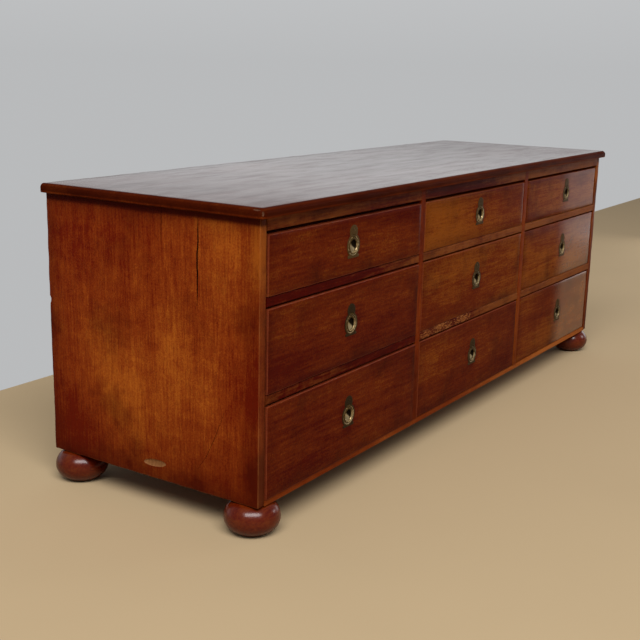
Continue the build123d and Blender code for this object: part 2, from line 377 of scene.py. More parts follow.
def joined(first, *others):
    """Several objects as one."""
    only(first)
    for piece in others:
        piece.select_set(True)
    bpy.ops.object.join()
    return first


def melt(piece, voxel, passes):
    """Melts overlapping forms into one smooth casting."""
    finish_with(piece, "REMESH", mode="VOXEL", voxel_size=voxel)
    finish_with(piece, "SMOOTH", factor=0.5, iterations=passes)


def smooth(piece, degrees=32):
    """Smooth shading, with creases where faces turn more than an angle."""
    only(piece)
    bpy.ops.object.shade_smooth_by_angle(angle=math.radians(degrees))


def turn(name, profile, centre=(0, 0, 0), axis="Z", steps=96):
    """A turned piece: a profile of (radius, height) points spun about Z, or about Y with its top in front."""
    piece = add_chain(name, [(radius, 0, height) for radius, height in profile])
    with editing(piece):
        bpy.ops.mesh.spin(steps=steps, angle=math.tau, center=(0, 0, 0), axis=(0, 0, 1))
        bpy.ops.mesh.select_all(action="SELECT")
        bpy.ops.mesh.remove_doubles(threshold=WELD)
        bpy.ops.mesh.normals_make_consistent(inside=False)
    turns = {"Z": Matrix(), "Y": Matrix.Rotation(math.pi / 2, 4, "X")}
    piece.data.transform(Matrix.Translation(centre) @ turns[axis])
    return piece


def add_bar(name, radius, start, end, y, z):
    """A round bar along X."""
    return add_primitive(
        name,
        "cylinder",
        vertices=32,
        radius=radius,
        depth=end - start,
        location=((start + end) / 2, y, z),
        rotation=(0, math.pi / 2, 0),
    )


def show(piece, body, slot, *nodes):
    """Hands a finished piece over to the frame."""
    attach(piece, body)
    if nodes:
        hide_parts(*nodes)


def dress(piece, material):
    """Gives an object one material."""
    piece.data.materials.clear()
    piece.data.materials.append(material)


def dress_nodes(material, *nodes):
    """Gives CAD nodes one material."""
    for node in nodes:
        dress(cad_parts[node], material)


# Materials


class Link:
    """One output socket. Python's operators on it add Math nodes."""

    def __init__(self, shader, socket):
        self.shader = shader
        self.socket = socket

    def __add__(self, other):
        return self.shader.math("ADD", self, other)

    def __sub__(self, other):
        return self.shader.math("SUBTRACT", self, other)

    def __rsub__(self, other):
        return self.shader.math("SUBTRACT", other, self)

    def __mul__(self, other):
        return self.shader.math("MULTIPLY", self, other)

    __radd__ = __add__
    __rmul__ = __mul__


class Shader:
    """The nodes of one material or world."""

    def __init__(self, owner):
        self.owner = owner
        owner.use_nodes = True
        self.tree = owner.node_tree
        self.tree.nodes.clear()

    def node(self, kind, settings=None, sockets=None, output=0):
        """Adds a node: its settings first, then its sockets' values or links. Returns one of its outputs."""
        node = self.tree.nodes.new("ShaderNode" + kind)
        for key, value in (settings or {}).items():
            if key == "stops":
                ramp = node.color_ramp
                while len(ramp.elements) < len(value):
                    ramp.elements.new(1)
                for element, (place, colour) in zip(ramp.elements, value):
                    element.position = place
                    element.color = (*colour[:3], 1)
            else:
                setattr(node, key, value)
        for key, value in (sockets or {}).items():
            if isinstance(value, Link):
                self.tree.links.new(value.socket, node.inputs[key])
            else:
                node.inputs[key].default_value = value
        return Link(self, node.outputs[output]) if node.outputs else None

    def math(self, operation, *values):
        """One Math node."""
        return self.node("Math", {"operation": operation}, dict(enumerate(values)))

    def mix(self, first, second, factor):
        """Two colours mixed by a factor."""
        sockets = {0: factor, 6: opaque(first), 7: opaque(second)}
        return self.node("Mix", {"data_type": "RGBA"}, sockets, output=2)

    def ramp(self, value, *stops):
        """A colour for each value, from (value, colour) stops."""
        return self.node("ValToRGB", {"stops": stops}, {0: value})

    def rise(self, value, start, end):
        """A smooth rise from none to one between two values."""
        sockets = {"Value": value, "From Min": start, "From Max": end}
        return self.node("MapRange", {"interpolation_type": "SMOOTHSTEP"}, sockets)

    def noise(self, place, scale=1, detail=3, roughness=0.5, distortion=0):
        """Soft clouds of numbers about a half."""
        names = ("Vector", "Scale", "Detail", "Roughness", "Distortion")
        return self.node("TexNoise", None, dict(zip(names, (place, scale, detail, roughness, distortion))))

    def stretch(self, place, along, across, grain):
        """Coordinates counted in features, with so many a metre along the grain and across it."""
        counts = [along if axis == grain else across for axis in "XYZ"]
        return self.node("VectorMath", {"operation": "MULTIPLY"}, {0: place, 1: counts})

    def shifted(self):
        """Object coordinates, moved so that each board has its own stretch of grain."""
        place = self.node("TexCoord", output=3)
        board = self.attribute("board")
        shift = self.node("CombineXYZ", None, {0: board * 1.7, 1: board * 2.3, 2: board * 3.1})
        return self.node("VectorMath", {"operation": "ADD"}, {0: place, 1: shift})

    def attribute(self, name):
        """The number that a mesh carries under a name."""
        return self.node("Attribute", {"attribute_name": name}, output=2)

    def parts(self, vector):
        """A vector's X, Y and Z."""
        node = self.node("SeparateXYZ", None, {0: vector}).socket.node
        return [Link(self, output) for output in node.outputs]

    def finish(self, sockets, bump=None, depth=0.0002):
        """Ends the tree in one Principled shader."""
        if bump is not None:
            sockets = {**sockets, "Normal": self.node("Bump", None, {"Distance": depth, "Height": bump})}
        self.node("OutputMaterial", None, {0: self.node("BsdfPrincipled", None, sockets)})
        return self.owner


def opaque(colour):
    """A colour with its alpha, or a link as it is."""
    return colour if isinstance(colour, Link) else (*colour[:3], 1)


# How a wood looks where its finish doesn't say otherwise. The tone rises by "paler" towards the right, a
# painted sheen; "flecked" is a stretch of X with its flecks' colour, and "under" the height of an overhang
# with painted shade beneath it. "upward" keeps the varnish to faces that look up and darkens their wood, and
# a "length" below one draws the grain out
WOOD_LOOK = {
    "rough": 0.48,
    "coat": 0,
    "coat_rough": 0.15,
    "specular": 0.1,
    "bands": 0.55,
    "figure": 0.3,
    "grit": 0.2,
    "dashes": 0.2,
    "length": 1,
    "paler": 0,
    "flecked": None,
    "under": 0,
    "upward": False,
    "low_soil": 0.3,
    "soil": 0.8,
    "dirt_and_shade_width": 0.02,
    "wear": 1,
    "wear_width": 0.0022,
    "rub_and_sheen_line": 0,
}

# Where the painted sheen rises in X and the darkening low down ends in Z, how far below an overhang painted
# shade lies, and the width of an arris's line of rubbed wood, on the drawer fronts partly a painted highlight
SHEEN_SPAN = (-0.15, 0.15)
LOW_DOWN = (0.03, 0.12)
OVERHANG_SHADE = (0.0085, 0.003)
ARRIS_LINE = (0.0003, 0.0014)


def wood(name, grain, tones, worn=None, thin=None, **look):
    """Stained hardwood with drifting tone, growth bands, streaks, cross figure, grit and pores.

    Its grain runs along one axis. Where thin names the axis of a board's thickness, the board's borders are
    darkened with dirt and painted shade, its edge faces, away from the broad ones, with dirt and painted
    shade, and its arrises are rubbed in patches to the colour worn, with a line along them that is partly a
    painted highlight.
    """
    look = {**WOOD_LOOK, **look}
    s = Shader(bpy.data.materials.new(name))
    place = s.shifted()
    deep, medium, light = tones
    drift = s.noise(s.stretch(place, 5, 9, grain), detail=2)
    banded = s.stretch(place, 5 * look["length"], 45, grain)
    bands = s.noise(banded, detail=5, roughness=0.6, distortion=0.9)
    streaks = s.noise(s.stretch(place, 32 * look["length"], 480, grain), detail=3, roughness=0.6)
    figure = s.noise(s.stretch(place, 80, 55, grain), detail=4, roughness=0.6, distortion=0.6)
    fibres = s.noise(s.stretch(place, 60, 1500, grain), detail=2, roughness=0.7)
    dashes = s.rise(s.noise(s.stretch(place, 130 * look["length"], 700, grain), detail=2), 0.53, 0.68)
    tone = 0.5 + (drift - 0.5) * 0.7 + (bands - 0.5) * look["bands"] + (streaks - 0.5) * 0.45
    grit = s.noise(place, scale=650, detail=2, roughness=0.7)
    smear = s.noise(place, scale=40, detail=3)
    tone = tone + (figure - 0.5) * look["figure"] + (grit - 0.5) * look["grit"] + s.attribute("tone")
    across, _, height = s.parts(s.node("TexCoord", output=3))
    # Painted sheen: the tone rises towards the right by "paler"
    tone = tone + s.rise(across, *SHEEN_SPAN) * look["paler"]
    colour = s.ramp(tone, (0.25, deep), (0.5, medium), (0.75, light))
    colour = s.mix(colour, [c * 0.4 for c in deep], dashes * look["dashes"])
    blotch = s.noise(place, scale=16, detail=4, roughness=0.6)
    # Darker towards the bottom, below the heights in LOW_DOWN; blotches of dirt darken it too
    low_down = 1 - s.rise(height, *LOW_DOWN)
    soil = s.rise(blotch, 0.5, 0.75) * 0.45 + low_down * look["low_soil"]
    # Painted shade: a band just below an overhang is darkened
    if look["under"]:
        soil = soil + s.rise(height, *[look["under"] - drop for drop in OVERHANG_SHADE]) * 0.85
    rubbed = 0
    if thin:
        inward = dict(zip("XYZ", s.parts(s.node("Attribute", {"attribute_name": "inset"}, output=1))))
        through = inward.pop(thin)
        border = s.math("MINIMUM", *inward.values())
        # Darker near the board's borders, with dirt and painted shade
        soil = soil + (1 - s.rise(border, 0, look["dirt_and_shade_width"])) * (blotch * 1.3 - 0.1) * look["soil"]
        # Painted shade, with dirt: the middle of each edge face, such as a drawer front's ends in their gaps,
        # is darker
        soil = soil + s.rise(through, 0.0008, 0.003) * 0.8
        from_arris = s.math("MAXIMUM", through, border)
        near = 1 - s.rise(from_arris, 0, look["wear_width"])
        # A thin line along each arris, taken up into rubbed: rubbed wood, and on the drawer fronts a painted
        # highlight
        rub_and_sheen_line = 1 - s.rise(from_arris, *ARRIS_LINE)
        patches = s.noise(place, scale=95, detail=4, roughness=0.65)
        rubbed = s.rise(near * 0.45 + (patches - 0.5) * 1.5, 0.52, 0.75)
        rubbed = s.math("MAXIMUM", rubbed, rub_and_sheen_line * (patches + 0.3) * look["rub_and_sheen_line"])
    colour = s.mix(colour, [c * 0.45 for c in deep], s.math("MINIMUM", soil, 0.92))
    if worn:
        colour = s.mix(colour, worn, rubbed * look["wear"])
    if look["flecked"]:
        start, end, tan = look["flecked"]
        within = s.rise(across, start, start + 0.004) * (1 - s.rise(across, end - 0.004, end))
        flecks = s.noise(s.stretch(place, 260, 1100, grain), detail=4, roughness=0.75)
        colour = s.mix(colour, tan, within * s.rise(flecks + (smear - 0.5) * 0.5, 0.46, 0.66) * 0.75)
    roughness = look["rough"] + (smear - 0.5) * 0.25 + (fibres - 0.5) * 0.12 + rubbed * 0.12
    coat = (0.92 + (bands - 0.5) * 0.25 + (streaks - 0.5) * 0.2 - dashes * 0.06) * look["coat"]
    if look["upward"]:
        facing = s.parts(s.node("NewGeometry", output=1))[2]
        coat = coat * s.rise(facing, 0.95, 0.9995)
        coat = coat * (1 - s.attribute("dulled") * (blotch * 1.6 + 0.2))
        smudges = s.noise(s.stretch(place, 14, 60, grain), detail=5, roughness=0.65)
        coat = coat * (1 - s.rise(smudges, 0.42, 0.72) * 0.22)
        colour = s.mix(colour, [c * 0.5 for c in deep], s.rise(facing, 0.2, 0.95) * 0.7)
    coat = s.math("MINIMUM", coat + s.attribute("polish"), 1)
    return s.finish(
        {
            "Base Color": colour,
            "Roughness": roughness,
            "Coat Weight": coat,
            "Coat Roughness": look["coat_rough"],
            "Specular IOR Level": look["specular"],
        },
        fibres * 0.3 - dashes * 0.6 + figure * 0.3 + smear * 0.3,
        0.00012,
    )


# Near black: grime on the pulls, and painted shade in the upper right of each cup
GRIME_AND_SHADE = (0.008, 0.004, 0.001)


def brass(name, metal, patina, cover, rough):
    """Old brass: bright where rubbed or dished, dull olive brown elsewhere, and nearly black with grime and,
    in its cup's upper right, painted shade.
    """
    s = Shader(bpy.data.materials.new(name))
    place = s.node("TexCoord", output=3)
    cloud = s.noise(place, scale=420, detail=4, roughness=0.65)
    specks = s.rise(s.noise(place, scale=1700, detail=2), 0.6, 0.72)
    bright = s.attribute("wear") * 0.35 + s.attribute("hollow") * 0.6
    dull = s.rise(cloud + specks * 0.15 + cover - bright, 0.4, 0.85)
    grime = s.attribute("grime")
    brushed = s.noise(s.stretch(place, 4000, 500, "X"), detail=2)
    return s.finish(
        {
            "Base Color": s.mix(s.mix(metal, patina, dull), GRIME_AND_SHADE, grime),
            "Metallic": (1 - dull) * (1 - grime),
            "Roughness": rough + dull * 0.25 + grime * 0.2 + (brushed - 0.5) * 0.12,
            "Specular IOR Level": 0.08,
        },
        cloud * 0.5 + brushed * 0.25 + specks * 0.3,
        0.00005,
    )


def make_materials(colours):
    """Every finish on the cabinet, by name."""
    worn = colours.worn
    side = ((0.11, 0.007, 0.001), colours.side, (0.34, 0.085, 0.008))
    front = ((0.06, 0.002, 0.0006), colours.front, (0.2, 0.05, 0.004))
    # The rails and shelves are darkened with painted shade, as cast on them by the proud drawer fronts
    rail = ((0.025, 0.0004, 0.0003), (0.058, 0.0018, 0.0004), (0.17, 0.045, 0.008))
    upright = ((0.055, 0.003, 0.0004), (0.13, 0.015, 0.001), (0.22, 0.045, 0.003))
    sill = ((0.12, 0.014, 0.0015), (0.175, 0.032, 0.0045), (0.31, 0.085, 0.015))
    top = ((0.05, 0.005, 0.0006), colours.top, (0.19, 0.04, 0.005))
    foot = ((0.045, 0.0015, 0.0003), colours.foot, (0.16, 0.026, 0.0016))
    lining = ((0.3, 0.17, 0.08), colours.lining, (0.58, 0.38, 0.19))
    back = ((0.13, 0.06, 0.025), (0.21, 0.11, 0.05), (0.3, 0.17, 0.08))
    bare = ((0.14, 0.05, 0.015), (0.25, 0.105, 0.035), (0.36, 0.17, 0.07))
    chip = ((0.04, 0.014, 0.007), (0.075, 0.03, 0.016), (0.13, 0.06, 0.035))
    split = ((0.008, 0.002, 0.001), (0.014, 0.004, 0.002), (0.03, 0.008, 0.004))
    # The colour of rubbed arrises on the fronts and top, and of the fronts' painted highlight along their
    # arrises
    rub_and_sheen_red = (0.2, 0.045, 0.018)
    flecks = (-0.124, 0.004, (0.4, 0.15, 0.04))
    side_look = {"dirt_and_shade_width": 0.03, "bands": 0.4, "figure": 0.35, "grit": 0.45, "rub_and_sheen_line": 0.4}
    front_look = {"soil": 0.5, "low_soil": 0.08, "wear": 0.9, "rub_and_sheen_line": 0.75, "figure": 0.22, "grit": 0.5}
    front_varnish = {"coat": 0.16, "coat_rough": 0.22, "specular": 0}
    top_look = {"soil": 0, "wear": 0.5, "length": 0.2, "grit": 0}
    top_varnish = {"coat": 1, "coat_rough": 0.1, "specular": 0.01, "upward": True}
    # "paler" paints a sheen on the rails towards the right
    rail_look = {"specular": 0.02, "paler": 0.22}
    foot_varnish = {"coat": 0.72, "coat_rough": 0.23, "rough": 0.5, "specular": 0}
    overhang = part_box("top_board")[0][2]
    return {
        "side": wood("side_wood", "Z", side, worn, "X", specular=0.03, under=overhang, **side_look),
        "front": wood("front_wood", "X", front, rub_and_sheen_red, "Y", **front_look, **front_varnish),
        "top": wood("top_wood", "X", top, rub_and_sheen_red, "Z", **top_look, **top_varnish),
        "rail": wood("rail_wood", "X", rail, **rail_look),
        "worn_rail": wood("worn_rail_wood", "X", rail, flecked=flecks, **rail_look),
        "upright": wood("upright_wood", "Z", upright, specular=0.02),
        "sill": wood("sill_wood", "X", sill, specular=0.02, low_soil=0, paler=0.1),
        "foot": wood("foot_wood", "X", foot, **foot_varnish),
        "lining_y": wood("lining_wood", "Y", lining, rough=0.75),
        "lining_x": wood("back_wood", "X", back, rough=0.8),
        "bare": wood("bare_wood", "Z", bare, rough=0.8),
        "chip": wood("chipped_wood", "X", chip, rough=0.8, specular=0),
        "split": wood("split_wood", "Z", split, rough=0.9, specular=0),
        "plate": brass("plate_brass", (0.78, 0.6, 0.33), (0.055, 0.027, 0.005), 0.47, 0.3),
        "ring": brass("ring_brass", (0.55, 0.4, 0.2), (0.05, 0.027, 0.005), 0.45, 0.25),
    }


# The operators' settings


def length_property(name, description, default):
    """One length that the panel shows."""
    return bpy.props.FloatProperty(name=name, description=description, default=default, unit="LENGTH")


class CabinetSizes(bpy.types.PropertyGroup):
    """Sizes that the finish of the cabinet depends on"""

    arris: length_property("Arris", "Rounding of the drawer fronts' arrises", 0.0008)
    wear_width: length_property("Wear width", "How far rubbing reaches in from an arris", 0.006)
    wear_depth: length_property("Wear depth", "How deep the arrises are rubbed down", 0.0006)
    crack: length_property("Crack", "Width of the widest crack in the left side", 0.0018)


def colour_property(name, description, default):
    """One colour that the panel shows."""
    return bpy.props.FloatVectorProperty(
        name=name, description=description, default=default, subtype="COLOR", size=3, min=0, max=1
    )


class CabinetColours(bpy.types.PropertyGroup):
    """Colours of the cabinet's finishes"""

    side: colour_property("Side", "Middle tone of the side panels", (0.205, 0.033, 0.0035))
    front: colour_property("Front", "Middle tone of the drawer fronts", (0.115, 0.014, 0.0012))
    top: colour_property("Top", "Middle tone of the top board", (0.105, 0.014, 0.0016))
    foot: colour_property("Foot", "Middle tone of the bun feet", (0.1, 0.0075, 0.0004))
    lining: colour_property("Lining", "Middle tone of the drawer boards", (0.44, 0.27, 0.13))
    worn: colour_property("Worn", "Wood that shows on the side panels' rubbed arrises", (0.3, 0.12, 0.035))
    floor: colour_property("Floor", "Floor of the stage", (0.42, 0.31, 0.18))


# The cabinet's materials by name, once they are made
finishes = {}


def finish(name):
    """A material of the cabinet, made with the rest when first asked for."""
    if not finishes:
        finishes.update(make_materials(bpy.context.scene.cabinet_colours))
    return finishes[name]


# The pieces


class CABINET_OT_top_board(bpy.types.Operator):
    """Make the worn, varnished top board"""

    bl_idname = "cabinet.top_board"
    bl_label = "Top Board"

    def execute(self, context):
        low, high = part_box("top_board")
        piece = add_block("top_board_worn", low + SKIN, high - SKIN)
        divide(piece, (8 * MM, 8 * MM, 20 * MM))
        front_corner = lambda e: sharp(e) and abs(run(e).z) > MM and middle(e).y < 0
        round_edges(piece, front_corner, TOP_CORNER, 8)
        in_front = lambda e: sharp(e) and middle(e).y < high.y - MM / 10
        round_edges(piece, lambda e: in_front(e) and middle(e).z > high.z - MM, TOP_UPPER, 8)
        round_edges(piece, lambda e: in_front(e) and middle(e).z < low.z + MM, TOP_LOWER, 4)
        sizes = context.scene.cabinet_sizes
        wear_arrises(piece, low, high, sizes.wear_width, sizes.wear_depth, grain=0.02)
        dress(piece, finish("top"))
        for offset, size in CORNER_CHIPS:
            place = Vector((low.x, low.y, high.z)) + Vector(offset)
            cut(piece, dent("chip_cutter", place, size, finish("chip")))
        mark_insets(piece, low, high)
        mark(piece, "board", lambda place: 1)
        mark(piece, "dulled", lambda place: dulling(place, low, high))
        smooth(piece)
        show(piece, "case", "top_wood", "top_board")
        return {"FINISHED"}


def dulling(place, low, high):
    """How far the varnish on the top has gone: most at the left end and the near corner."""
    left = DULL_LEFT[0] * fade(place.x - low.x, DULL_LEFT[1])
    right = DULL_RIGHT[0] * fade(place.x - high.x, DULL_RIGHT[1])
    corner = fade(place.x - low.x, DULL_CORNER[1]) * fade(place.y - low.y, DULL_CORNER[2])
    return left + right + DULL_CORNER[0] * corner


def dent(name, place, size, material, tilt=0):
    """A pebble of three half lengths, with a rough skin, for cutting a shallow hollow."""
    piece = add_primitive(name, "ico_sphere", subdivisions=4, radius=1)
    piece.data.transform(Matrix.Diagonal((*size, 1)))
    piece.data.transform(Matrix.Rotation(tilt, 4, "X"))
    piece.data.transform(Matrix.Translation(place))
    texture = bpy.data.textures.new(name, "CLOUDS")
    texture.noise_scale = min(size) * 1.5
    finish_with(piece, "DISPLACE", texture=texture, texture_coords="LOCAL", strength=min(size) * 0.5)
    dress(piece, material)
    return piece


def side_tone(place):
    """How much paler or darker a place on a side panel is than the rest."""
    return sum(
        change * fade(place.y - y, reach_y) * fade(place.z - z, reach_z)
        for y, z, reach_y, reach_z, change in SIDE_CLOUDS
    )


def crack(path, x, width, depth):
    """A thin blade that follows a path of (Y, Z) points down a side panel, for cutting it."""
    piece = add_chain("crack_cutter", [(x - MM, y, z) for y, z in path])
    with editing(piece):
        bpy.ops.mesh.extrude_edges_move(TRANSFORM_OT_translate={"value": (depth + MM, 0, 0)})
    top = path[0][1]
    bottom = path[-1][1]
    group = piece.vertex_groups.new(name="width")
    for v in piece.data.vertices:
        t = (v.co.z - top) / (bottom - top)
        share = max(CRACK_ENDS, math.sin(math.pi * min(max(t, 0), 1)) ** 0.6)
        group.add([v.index], share, "REPLACE")
    finish_with(piece, "SOLIDIFY", thickness=width, offset=0, vertex_group="width")
    dress(piece, finish("split"))
    return piece


def wander(start, end, steps, sway, seed):
    """Points from one place to another that stray to the sides a little."""
    draw = random.Random(seed)
    points = []
    for i in range(steps + 1):
        t = i / steps
        stray = sway * math.sin(math.pi * t) * draw.uniform(-1, 1)
        points.append((start[0] + (end[0] - start[0]) * t + stray, start[1] + (end[1] - start[1]) * t))
    return points


class CABINET_OT_side_panels(bpy.types.Operator):
    """Make both side panels, the left one cracked, chipped and rubbed"""

    bl_idname = "cabinet.side_panels"
    bl_label = "Side Panels"

    def execute(self, context):
        sizes = context.scene.cabinet_sizes
        for number, node in enumerate(("left_side_panel", "right_side_panel")):
            low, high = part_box(node)
            piece = add_block(node + "_worn", low, high)
            divide(piece, (20 * MM, 3 * MM, 6 * MM))
            round_edges(piece, sharp, SIDE_ARRIS, 3)
            wear_arrises(piece, low, high, sizes.wear_width, sizes.wear_depth, grain=0.015)
            dress(piece, finish("side"))
            if number == 0:
                self.damage(piece, low, sizes)
            mark_insets(piece, low, high)
            mark(piece, "board", lambda place: 2 + number)
            mark(piece, "tone", side_tone)
            smooth(piece)
            show(piece, "case", "case_wood", node)
        return {"FINISHED"}

    def damage(self, piece, low, sizes):
        """Cracks the left side, leaves a bare patch low down on it and chips its back edge."""
        for seed, (start, end, share, depth) in enumerate(CRACKS):
            path = wander(start, end, CRACK_STEPS, CRACK_SWAY * share, CRACK_SEED + seed)
            cut(piece, crack(path, low.x, share * sizes.crack, depth))
        cut(piece, crack(CURVED_CRACK, low.x, CURVED_SHARE * sizes.crack, CURVED_DEPTH))
        cut(piece, dent("patch_cutter", (low.x, *BARE_PATCH), PATCH_SIZE, finish("bare"), PATCH_TILT))
        back = corners(piece)[1].y
        cut(piece, dent("notch_cutter", (low.x, back, NOTCH_Z), NOTCH_SIZE, finish("bare")))


class CABINET_OT_case_boards(bpy.types.Operator):
    """Finish the dividers, rails, shelves, bottom, back and stops"""

    bl_idname = "cabinet.case_boards"
    bl_label = "Case Boards"

    def execute(self, context):
        dress_nodes(finish("upright"), "left_divider", "right_divider")
        dress_nodes(finish("rail"), "top_rails", "upper_shelves")
        dress_nodes(finish("sill"), "bottom_board")
        dress_nodes(finish("worn_rail"), "lower_shelves")
        dress_nodes(finish("lining_x"), "back_panel", "drawer_stops")
        return {"FINISHED"}


def pull_centre(drawer):
    """The middle of a drawer's pull, on the face of the drawer front."""
    front_low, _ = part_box(drawer + "_drawer_front")
    low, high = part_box(drawer + "_pull_plate")
    return Vector(((low.x + high.x) / 2, front_low.y, high.z - LOBE_HEIGHT - LOBE_RADIUS))


def bowl(radius, edge, bottom, steps=12):
    """Points of a shallow bowl, from the bottom of its middle to its edge."""
    return [(radius * i / steps, bottom + (edge - bottom) * (i / steps) ** 2) for i in range(steps + 1)]


def plate_blank(spare):
    """The four forms of a pull's plate and cup, larger by a little to spare."""
    back = -PLATE_THICKNESS + PLATE_PROUD - spare
    outer = CUP_RADIUS + CUP_WALL + spare
    profile = [
        *bowl(outer, CUP_BACK_EDGE, CUP_BACK - spare),
        (outer, back),
        (PLATE_RADIUS + spare, back),
        (PLATE_RADIUS + spare, PLATE_PROUD - PLATE_EASE),
        (PLATE_RADIUS + spare - PLATE_EASE, PLATE_PROUD),
    ]
    if spare:
        profile.append((0, PLATE_PROUD))
    else:
        profile += [
            (CUP_RADIUS + 3 * PLATE_EASE, PLATE_PROUD),
            (CUP_RADIUS + 2 * PLATE_EASE, PLATE_PROUD + PLATE_EASE),
            (CUP_RADIUS + PLATE_EASE, PLATE_PROUD + PLATE_EASE),
            (CUP_RADIUS, PLATE_PROUD - PLATE_EASE),
            *reversed(bowl(CUP_RADIUS, CUP_EDGE, CUP_BOTTOM)),
        ]
    body = turn("pull_plate_form", profile, (0, 0, 0), "Y", 72)
    wide = LOBE_RADIUS + spare
    edge = [(0, back), (wide, back), (wide, PLATE_PROUD - PLATE_EASE), (wide - PLATE_EASE, PLATE_PROUD)]
    lobe = turn("lobe", [*edge, (0, PLATE_PROUD)], (0, 0, LOBE_HEIGHT), "Y", 48)
    half = TAIL_WIDTH / 2 + spare
    tall = TAIL_HEIGHT / 2 + spare
    tail = add_block("tail", (-half, -PLATE_PROUD, -TAIL_DROP - tall), (half, -back, -TAIL_DROP + tall))
    round_edges(tail, lambda e: abs(run(e).y) > MM / 2, tall * 0.98, 5)
    wide *= 0.62
    waist = add_block("waist", (-wide, -PLATE_PROUD, 0.9 * PLATE_RADIUS), (wide, -back, LOBE_HEIGHT))
    return body, lobe, tail, waist


def front_tone(place, drawer, pull, bottom, top):
    """A drawer front's own tone, which changes with height and is darker where it is dirty around the pull.
    """
    tone, change, *_ = DRAWERS[drawer]
    centre = (bottom + top) / 2
    around = PULL_DIRT * max(0, 1 - (place - pull).length / PULL_DIRT_REACH)
    return tone + change * (place.z - centre) / (top - centre) - around


def polishing(place):
    """How much glossier the varnish is towards the drawers' right end, less so higher up."""
    return POLISH * ease(place.x, *POLISH_ACROSS) * (1 - POLISH_LOST * ease(place.z, *POLISH_HEIGHTS))


class CABINET_OT_drawer_fronts(bpy.types.Operator):
    """Make the nine drawer fronts with worn arrises and a recess for each pull"""

    bl_idname = "cabinet.drawer_fronts"
    bl_label = "Drawer Fronts"

    def execute(self, context):
        sizes = context.scene.cabinet_sizes
        recess = joined(*plate_blank(RECESS_SPARE))
        recess.name = "recess_cutter"
        recess.data.transform(Matrix.Translation((0, -RECESS_SPARE, 0)))
        dress(recess, finish("front"))
        for number, drawer in enumerate(DRAWERS):
            node = drawer + "_drawer_front"
            low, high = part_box(node)
            piece = add_block(node + "_worn", low, high)
            divide(piece, (6 * MM, 20 * MM, 6 * MM))
            round_edges(piece, lambda e: sharp(e) and middle(e).y < low.y + MM / 10, sizes.arris, 3)
            wear_arrises(piece, low, high, sizes.wear_width, sizes.wear_depth * 0.6, grain=0.012)
            dress(piece, finish("front"))
            pull = pull_centre(drawer)
            cut(piece, copy_at(recess, "recess_cutter_copy", pull), crossing=True)
            mark_insets(piece, low, high)
            piece.data.materials.append(finish("lining_x"))
            for face in piece.data.polygons:
                if face.center.y > high.y - MM / 10:
                    face.material_index = len(piece.data.materials) - 1
            mark(piece, "board", lambda place: 5 + number)
            mark(piece, "tone", lambda place: front_tone(place, drawer, pull, low.z, high.z))
            mark(piece, "polish", polishing)
            smooth(piece)
            show(piece, drawer + "_drawer", "front_wood", node)
        bpy.data.objects.remove(recess)
        return {"FINISHED"}


class CABINET_OT_drawer_boxes(bpy.types.Operator):
    """Finish the boards behind the drawer fronts"""

    bl_idname = "cabinet.drawer_boxes"
    bl_label = "Drawer Boxes"

    def execute(self, context):
        dress_nodes(finish("lining_y"), *[drawer + "_drawer_box" for drawer in DRAWERS])
        return {"FINISHED"}


def knuckles():
    """The two fixed knuckles of a pull's hinge."""
    return [
        add_bar("knuckle", KNUCKLE_RADIUS, start, start + KNUCKLE_LENGTH, HINGE_Y, HINGE_HEIGHT)
        for start in (SLOT_HALF, -SLOT_HALF - KNUCKLE_LENGTH)
    ]


def into_cup(place):
    """How far into the cup a place is, from none at its rim to one where its slope ends."""
    return min(1, max(0, (CUP_RADIUS - math.hypot(place.x, place.z)) / CUP_SLOPE))


def tarnish_and_shade(place, outer, inner):
    """Painted shade, black, along the cup's upper right, and tarnish outside and inside the cup."""
    # Painted shade: the cup's upper right, which its rim shades, is blackened
    corner = (place.x + 0.8 * place.z) / (1.28 * CUP_RADIUS)
    cup_shade = min(1, max(0, (corner - 0.08) / 0.25)) if place.y > -PLATE_PROUD and into_cup(place) > 0 else 0
    around = ease(math.hypot(place.x, place.z), CUP_RADIUS, CUP_RADIUS + CUP_SLOPE)
    return max(cup_shade, inner + (outer - inner) * around)


def make_plate():
    """The cast plate of a pull, with its cup, knuckles, slot for the ring's barrel and screw hole."""
    piece = joined(*plate_blank(0), *knuckles())
    melt(piece, PLATE_VOXEL, 3)
    reach = KNUCKLE_RADIUS + SLOT_SPARE
    low = (-SLOT_HALF, HINGE_Y - reach, RING_RADIUS)
    high = (SLOT_HALF, HINGE_Y + reach, HINGE_HEIGHT + reach)
    cut(piece, add_block("slot_cutter", low, high))
    wide = 1.85 * MM
    hole = [(0, 2 * PLATE_PROUD), (wide, 2 * PLATE_PROUD), (wide, PLATE_PROUD), (0.85 * MM, -1.2 * MM)]
    cut(piece, turn("hole_cutter", [*hole, (0, -1.2 * MM)], (0, 0, SCREW_HEIGHT), "Y", 32))

    def rim(place):
        radius = math.hypot(place.x, place.z)
        return max(0, 1 - abs(radius - CUP_RADIUS - PLATE_EASE) / MM) if place.y < 0 else 0

    mark(piece, "wear", rim)
    mark(piece, "hollow", into_cup)
    return piece


